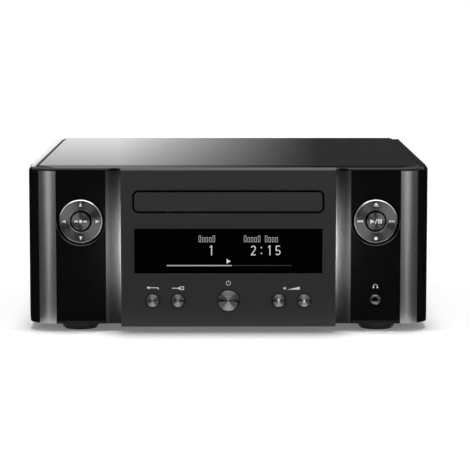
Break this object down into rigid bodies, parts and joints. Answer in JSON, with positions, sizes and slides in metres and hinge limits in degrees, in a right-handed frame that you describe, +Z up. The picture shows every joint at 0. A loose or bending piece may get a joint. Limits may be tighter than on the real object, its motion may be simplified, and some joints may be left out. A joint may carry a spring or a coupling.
{
  "type": "compact cd receiver",
  "caption": "Compact black hi-fi receiver with a curved bezel, raised centre panel, motor-driven disc drawer, display, round keys and rocking control rings.",
  "frame": {"origin": "middle of the whole object's footprint, on the surface that it stands on", "axes": "+Z up, the front with the drawer and display faces -Y, +X to the right as seen from the front"},
  "size_m": [0.28, 0.303, 0.1155],
  "materials": {
    "painted_steel": "satin",
    "plain_steel": "plain",
    "black_plastic": "satin",
    "satin_plastic": "satin",
    "black_acrylic": "gloss",
    "clear_acrylic": "gloss",
    "smoked_acrylic": "gloss",
    "panel_aluminium": "satin anodised",
    "key_aluminium": "spun",
    "ring_aluminium": "spun",
    "heatsink_aluminium": "plain",
    "circuit_board": "satin",
    "grey_plastic": "satin",
    "white_nylon": "satin",
    "red_plastic": "gloss",
    "plated_brass": "bright",
    "foot_rubber": "matt",
    "ferrite": "matt"
  },
  "bodies": {
    "cabinet": {"bottom_chassis": "painted_steel", "rear_panel": "painted_steel", "case_screws": "painted_steel", "top_cover": "plain_steel", "loader_posts": "plain_steel", "clamp_bridge": "plain_steel", "loading_motor": "plain_steel", "left_side_panel": "black_plastic", "right_side_panel": "black_plastic", "feet": "black_plastic", "mains_inlet": "black_plastic", "digital_jacks": "black_plastic", "speaker_block": "black_plastic", "phones_jack": "black_plastic", "front_bezel": "satin_plastic", "top_plate": "black_acrylic", "left_gloss_panel": "black_acrylic", "right_gloss_panel": "black_acrylic", "light_guides": "clear_acrylic", "display_window": "smoked_acrylic", "centre_panel": "panel_aluminium", "heatsink": "heatsink_aluminium", "reservoir_capacitors": "heatsink_aluminium", "key_boards": "circuit_board", "power_board": "circuit_board", "main_board": "circuit_board", "display_module": "grey_plastic", "tact_switches": "grey_plastic", "loader_frame": "grey_plastic", "rca_jacks": "plated_brass", "aerial_sockets": "plated_brass", "terminal_posts": "plated_brass", "foot_pads": "foot_rubber", "mains_transformer": "ferrite"},
    "tray": {"disc_tray": "black_plastic", "tray_front": "panel_aluminium"},
    "motor_pinion": {"motor_pinion": "white_nylon"},
    "tray_gear": {"tray_gear": "white_nylon"},
    "traverse": {"traverse_frame": "painted_steel", "guide_rods": "plain_steel", "mechanism_motors": "plain_steel"},
    "turntable": {"turntable": "black_plastic"},
    "sled_gear": {"sled_gear": "white_nylon"},
    "pickup": {"optical_pickup": "grey_plastic"},
    "clamp_puck": {"clamp_puck": "black_plastic"},
    "back_key": {"back_key": "key_aluminium"},
    "input_key": {"input_key": "key_aluminium"},
    "power_key": {"power_key": "key_aluminium"},
    "volume_down_key": {"volume_down_key": "key_aluminium"},
    "volume_up_key": {"volume_up_key": "key_aluminium"},
    "enter_key": {"enter_key": "key_aluminium"},
    "play_key": {"play_key": "key_aluminium"},
    "cursor_carrier": {"cursor_carrier": "grey_plastic"},
    "cursor_ring": {"cursor_ring": "ring_aluminium"},
    "transport_carrier": {"transport_carrier": "grey_plastic"},
    "transport_ring": {"transport_ring": "ring_aluminium"},
    "terminal_cap_1": {"terminal_cap_1": "red_plastic"},
    "terminal_cap_2": {"terminal_cap_2": "black_plastic"},
    "terminal_cap_3": {"terminal_cap_3": "red_plastic"},
    "terminal_cap_4": {"terminal_cap_4": "black_plastic"}
  },
  "joints": [
    {"name": "tray_slide", "type": "slide", "parent": "cabinet", "child": "tray", "axis": [0, -1, 0], "range_m": [0, 0.133]},
    {"name": "tray_gear_spin", "type": "hinge", "parent": "cabinet", "child": "tray_gear", "pos_m": [-0.045, -0.112, 0.084], "axis": [0, 0, 1], "range_deg": [0, 960]},
    {"name": "motor_pinion_spin", "type": "hinge", "parent": "cabinet", "child": "motor_pinion", "pos_m": [-0.023, -0.112, 0.082], "axis": [0, 0, 1], "range_deg": [-2050, 0]},
    {"name": "traverse_tilt", "type": "hinge", "parent": "cabinet", "child": "traverse", "pos_m": [0, 0.01975, 0.07825], "axis": [1, 0, 0], "range_deg": [0, 3]},
    {"name": "turntable_spin", "type": "hinge", "parent": "traverse", "child": "turntable", "pos_m": [0, -0.08025, 0.088], "axis": [0, 0, 1], "continuous": true},
    {"name": "puck_spin", "type": "hinge", "parent": "cabinet", "child": "clamp_puck", "pos_m": [0, -0.08025, 0.098], "axis": [0, 0, 1], "continuous": true},
    {"name": "sled_slide", "type": "slide", "parent": "traverse", "child": "pickup", "axis": [0, 1, 0], "range_m": [0, 0.036]},
    {"name": "sled_gear_spin", "type": "hinge", "parent": "traverse", "child": "sled_gear", "pos_m": [0.03685, -0.02625, 0.082], "axis": [0, 0, 1], "range_deg": [-296, 0]},
    {"name": "back_key_press", "type": "slide", "parent": "cabinet", "child": "back_key", "axis": [0, 1, 0], "range_m": [0, 0.0005], "stiffness_N_per_m": 600},
    {"name": "input_key_press", "type": "slide", "parent": "cabinet", "child": "input_key", "axis": [0, 1, 0], "range_m": [0, 0.0005], "stiffness_N_per_m": 600},
    {"name": "power_key_press", "type": "slide", "parent": "cabinet", "child": "power_key", "axis": [0, 1, 0], "range_m": [0, 0.0005], "stiffness_N_per_m": 600},
    {"name": "volume_down_key_press", "type": "slide", "parent": "cabinet", "child": "volume_down_key", "axis": [0, 1, 0], "range_m": [0, 0.0005], "stiffness_N_per_m": 600},
    {"name": "volume_up_key_press", "type": "slide", "parent": "cabinet", "child": "volume_up_key", "axis": [0, 1, 0], "range_m": [0, 0.0005], "stiffness_N_per_m": 600},
    {"name": "enter_key_press", "type": "slide", "parent": "cabinet", "child": "enter_key", "axis": [0, 1, 0], "range_m": [0, 0.0005], "stiffness_N_per_m": 600},
    {"name": "play_key_press", "type": "slide", "parent": "cabinet", "child": "play_key", "axis": [0, 1, 0], "range_m": [0, 0.0005], "stiffness_N_per_m": 600},
    {"name": "cursor_rock_sideways", "type": "hinge", "parent": "cabinet", "child": "cursor_carrier", "pos_m": [-0.1026, -0.1365, 0.0775], "axis": [0, 0, 1], "range_deg": [-2, 2], "stiffness_Nm_per_rad": 0.6},
    {"name": "cursor_rock_upright", "type": "hinge", "parent": "cursor_carrier", "child": "cursor_ring", "pos_m": [-0.1026, -0.1365, 0.0775], "axis": [1, 0, 0], "range_deg": [-2, 2], "stiffness_Nm_per_rad": 0.6},
    {"name": "transport_rock_sideways", "type": "hinge", "parent": "cabinet", "child": "transport_carrier", "pos_m": [0.1026, -0.1365, 0.0775], "axis": [0, 0, 1], "range_deg": [-2, 2], "stiffness_Nm_per_rad": 0.6},
    {"name": "transport_rock_upright", "type": "hinge", "parent": "transport_carrier", "child": "transport_ring", "pos_m": [0.1026, -0.1365, 0.0775], "axis": [1, 0, 0], "range_deg": [-2, 2], "stiffness_Nm_per_rad": 0.6},
    {"name": "terminal_cap_1_turn", "type": "hinge", "parent": "cabinet", "child": "terminal_cap_1", "pos_m": [-0.072, 0.144, 0.0307], "axis": [0, 1, 0], "range_deg": [0, 1080]},
    {"name": "terminal_cap_2_turn", "type": "hinge", "parent": "cabinet", "child": "terminal_cap_2", "pos_m": [-0.054, 0.144, 0.0307], "axis": [0, 1, 0], "range_deg": [0, 1080]},
    {"name": "terminal_cap_3_turn", "type": "hinge", "parent": "cabinet", "child": "terminal_cap_3", "pos_m": [-0.036, 0.144, 0.0307], "axis": [0, 1, 0], "range_deg": [0, 1080]},
    {"name": "terminal_cap_4_turn", "type": "hinge", "parent": "cabinet", "child": "terminal_cap_4", "pos_m": [-0.018, 0.144, 0.0307], "axis": [0, 1, 0], "range_deg": [0, 1080]}
  ],
  "couplings": [
    {"joint": "tray_gear_spin", "follows": "tray_slide", "rad_per_m": 125},
    {"joint": "motor_pinion_spin", "follows": "tray_slide", "rad_per_m": -267.86},
    {"joint": "sled_gear_spin", "follows": "sled_slide", "rad_per_m": -142.86}
  ]
}
